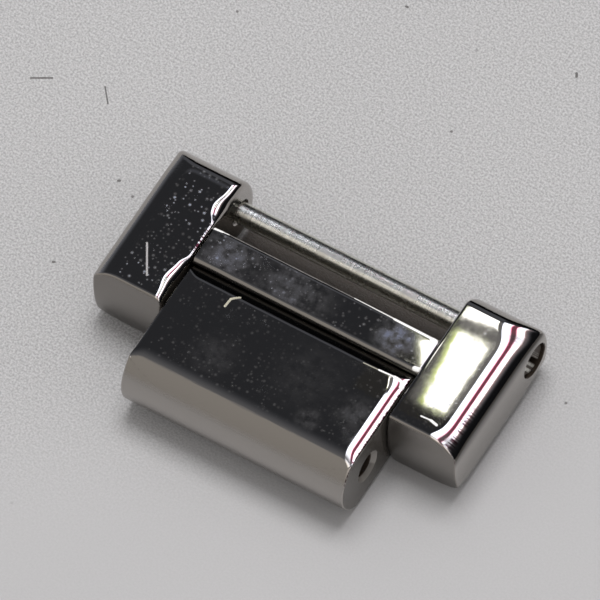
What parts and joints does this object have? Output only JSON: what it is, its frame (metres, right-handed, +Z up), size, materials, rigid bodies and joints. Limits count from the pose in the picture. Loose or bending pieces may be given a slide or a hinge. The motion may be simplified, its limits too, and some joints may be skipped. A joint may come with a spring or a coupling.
{
  "type": "watch bracelet link",
  "caption": "Polished steel watch bracelet link: outer links joined by a bar, a centre link swinging between them on a pin, and a slotted link screw across the rear.",
  "frame": {"origin": "on the skin side, under the middle of the whole link's bounding box", "axes": "+X across the bracelet towards the screw's head, +Y along the bracelet towards the link screw, +Z up through the face that shows"},
  "size_m": [0.017, 0.0104, 0.0036],
  "materials": {
    "polished_steel": "mirror polish",
    "turned_steel": "fine turned"
  },
  "bodies": {
    "outer_frame": {"left_outer_link": "polished_steel", "right_outer_link": "polished_steel", "bridge_bar": "polished_steel", "bridge_dowels": "turned_steel", "pivot_pin": "turned_steel"},
    "centre_link": {"centre_link": "polished_steel"},
    "link_screw": {"link_screw": "turned_steel"}
  },
  "joints": [
    {"name": "centre_link_pivot", "type": "hinge", "parent": "outer_frame", "child": "centre_link", "pos_m": [0, -0.00084, 0.0018], "axis": [1, 0, 0], "range_deg": [-60, 60]},
    {"name": "link_screw_slide", "type": "slide", "parent": "outer_frame", "child": "link_screw", "axis": [1, 0, 0], "range_m": [0, 0.017]}
  ]
}
